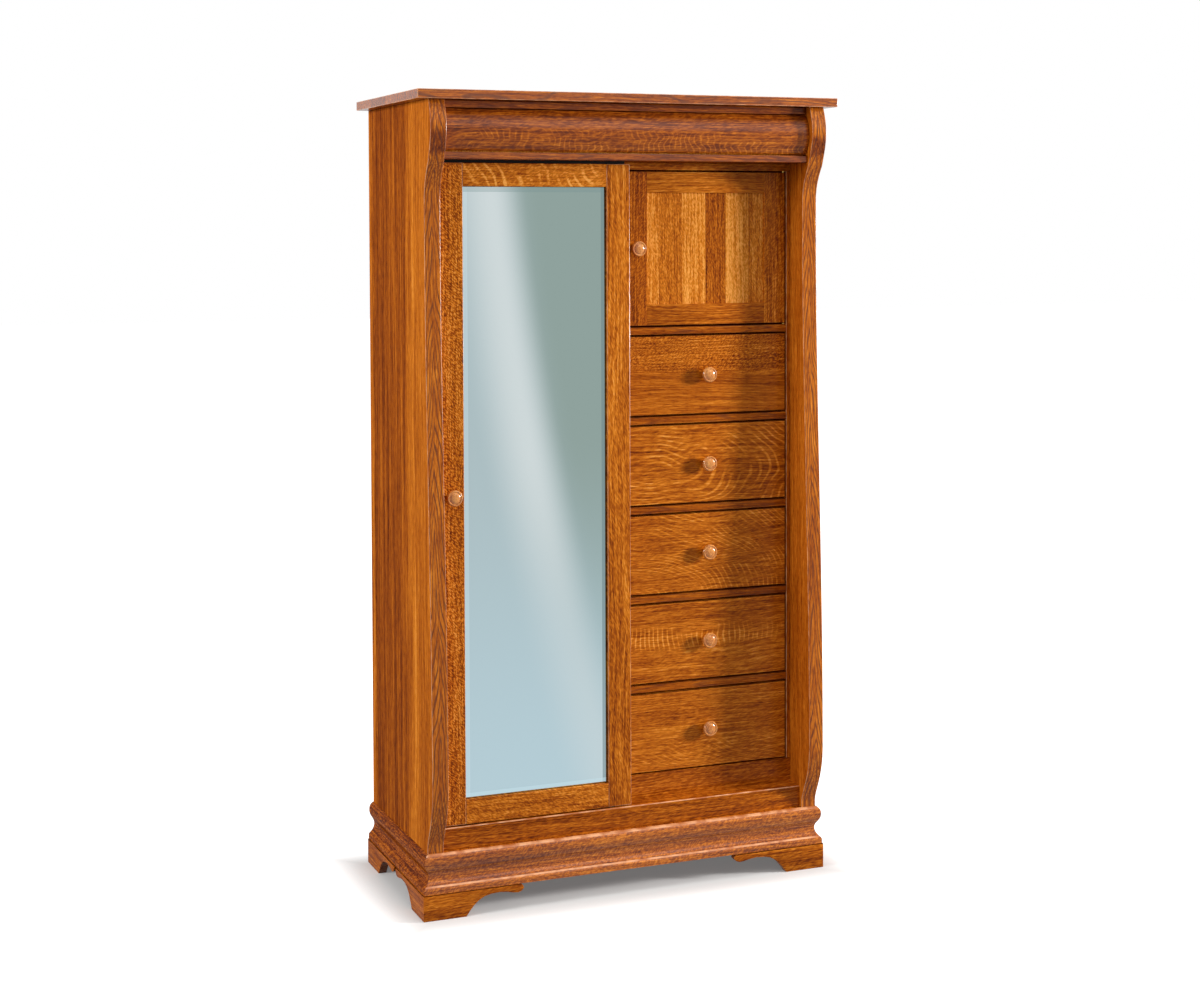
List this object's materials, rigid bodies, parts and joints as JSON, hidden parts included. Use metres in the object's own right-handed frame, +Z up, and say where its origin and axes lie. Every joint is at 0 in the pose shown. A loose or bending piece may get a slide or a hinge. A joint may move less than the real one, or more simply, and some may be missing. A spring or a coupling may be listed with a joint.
{
  "type": "chifforobe",
  "caption": "Tall sleigh-style oak wardrobe chest with a sliding mirror door, a small panel door over a bank of drawers, and a rounded hidden crown drawer.",
  "frame": {"origin": "on the floor, at the middle of the overall box", "axes": "+Z up, +Y towards the rear, +X to the right when looking at the front; the front faces -Y"},
  "size_m": [1.066, 0.52, 1.905],
  "materials": {
    "oak": "satin lacquer over a warm brown stain",
    "case_back": "stained, unpolished",
    "drawer_wood": "clear lacquer on pale wood",
    "knob_wood": "turned and gloss lacquered",
    "mirror": "silvered glass with a bevelled rim",
    "nylon": "moulded matt nylon",
    "brass": "plain brass"
  },
  "bodies": {
    "case": {"top_board": "oak", "left_post": "oak", "right_post": "oak", "left_side_panel": "oak", "right_side_panel": "oak", "back_panel": "case_back", "crown_top_rail": "oak", "crown_sill": "oak", "crown_deck": "case_back", "face_top_rail": "oak", "face_bottom_rail": "oak", "door_sill": "oak", "bottom_board": "case_back", "centre_partition": "oak", "drawer_bay_side": "oak", "drawer_divider_1": "oak", "drawer_divider_2": "oak", "drawer_divider_3": "oak", "drawer_divider_4": "oak", "drawer_divider_5": "oak", "closet_shelf": "oak", "closet_rod": "drawer_wood", "base_front_moulding": "oak", "base_left_moulding": "oak", "base_right_moulding": "oak", "front_left_foot": "oak", "front_right_foot": "oak", "rear_left_foot": "oak", "rear_right_foot": "oak"},
    "mirror_door": {"mirror_door_left_stile": "oak", "mirror_door_right_stile": "oak", "mirror_door_top_rail": "oak", "mirror_door_bottom_rail": "oak", "mirror": "mirror", "mirror_door_knob": "knob_wood", "door_top_guide": "nylon", "left_door_glide": "nylon", "right_door_glide": "nylon"},
    "small_door": {"small_door_frame": "oak", "small_door_panel": "oak", "small_door_knob": "knob_wood", "small_door_upper_pivot": "brass", "small_door_lower_pivot": "brass"},
    "drawer_1": {"drawer_1_front": "oak", "drawer_1_box": "drawer_wood", "drawer_1_knob": "knob_wood"},
    "drawer_2": {"drawer_2_front": "oak", "drawer_2_box": "drawer_wood", "drawer_2_knob": "knob_wood"},
    "drawer_3": {"drawer_3_front": "oak", "drawer_3_box": "drawer_wood", "drawer_3_knob": "knob_wood"},
    "drawer_4": {"drawer_4_front": "oak", "drawer_4_box": "drawer_wood", "drawer_4_knob": "knob_wood"},
    "drawer_5": {"drawer_5_front": "oak", "drawer_5_box": "drawer_wood", "drawer_5_knob": "knob_wood"},
    "crown_drawer": {"crown_drawer_front": "oak", "crown_drawer_box": "drawer_wood"}
  },
  "joints": [
    {"name": "mirror_door_slide", "type": "slide", "parent": "case", "child": "mirror_door", "axis": [-1, 0, 0], "range_m": [-0.451, 0]},
    {"name": "small_door_hinge", "type": "hinge", "parent": "case", "child": "small_door", "pos_m": [0.4475, -0.137, 1.54], "axis": [0, 0, 1], "range_deg": [0, 95]},
    {"name": "drawer_1_slide", "type": "slide", "parent": "case", "child": "drawer_1", "axis": [0, -1, 0], "range_m": [0, 0.29]},
    {"name": "drawer_2_slide", "type": "slide", "parent": "case", "child": "drawer_2", "axis": [0, -1, 0], "range_m": [0, 0.29]},
    {"name": "drawer_3_slide", "type": "slide", "parent": "case", "child": "drawer_3", "axis": [0, -1, 0], "range_m": [0, 0.29]},
    {"name": "drawer_4_slide", "type": "slide", "parent": "case", "child": "drawer_4", "axis": [0, -1, 0], "range_m": [0, 0.29]},
    {"name": "drawer_5_slide", "type": "slide", "parent": "case", "child": "drawer_5", "axis": [0, -1, 0], "range_m": [0, 0.29]},
    {"name": "crown_drawer_slide", "type": "slide", "parent": "case", "child": "crown_drawer", "axis": [0, -1, 0], "range_m": [0, 0.25]}
  ]
}
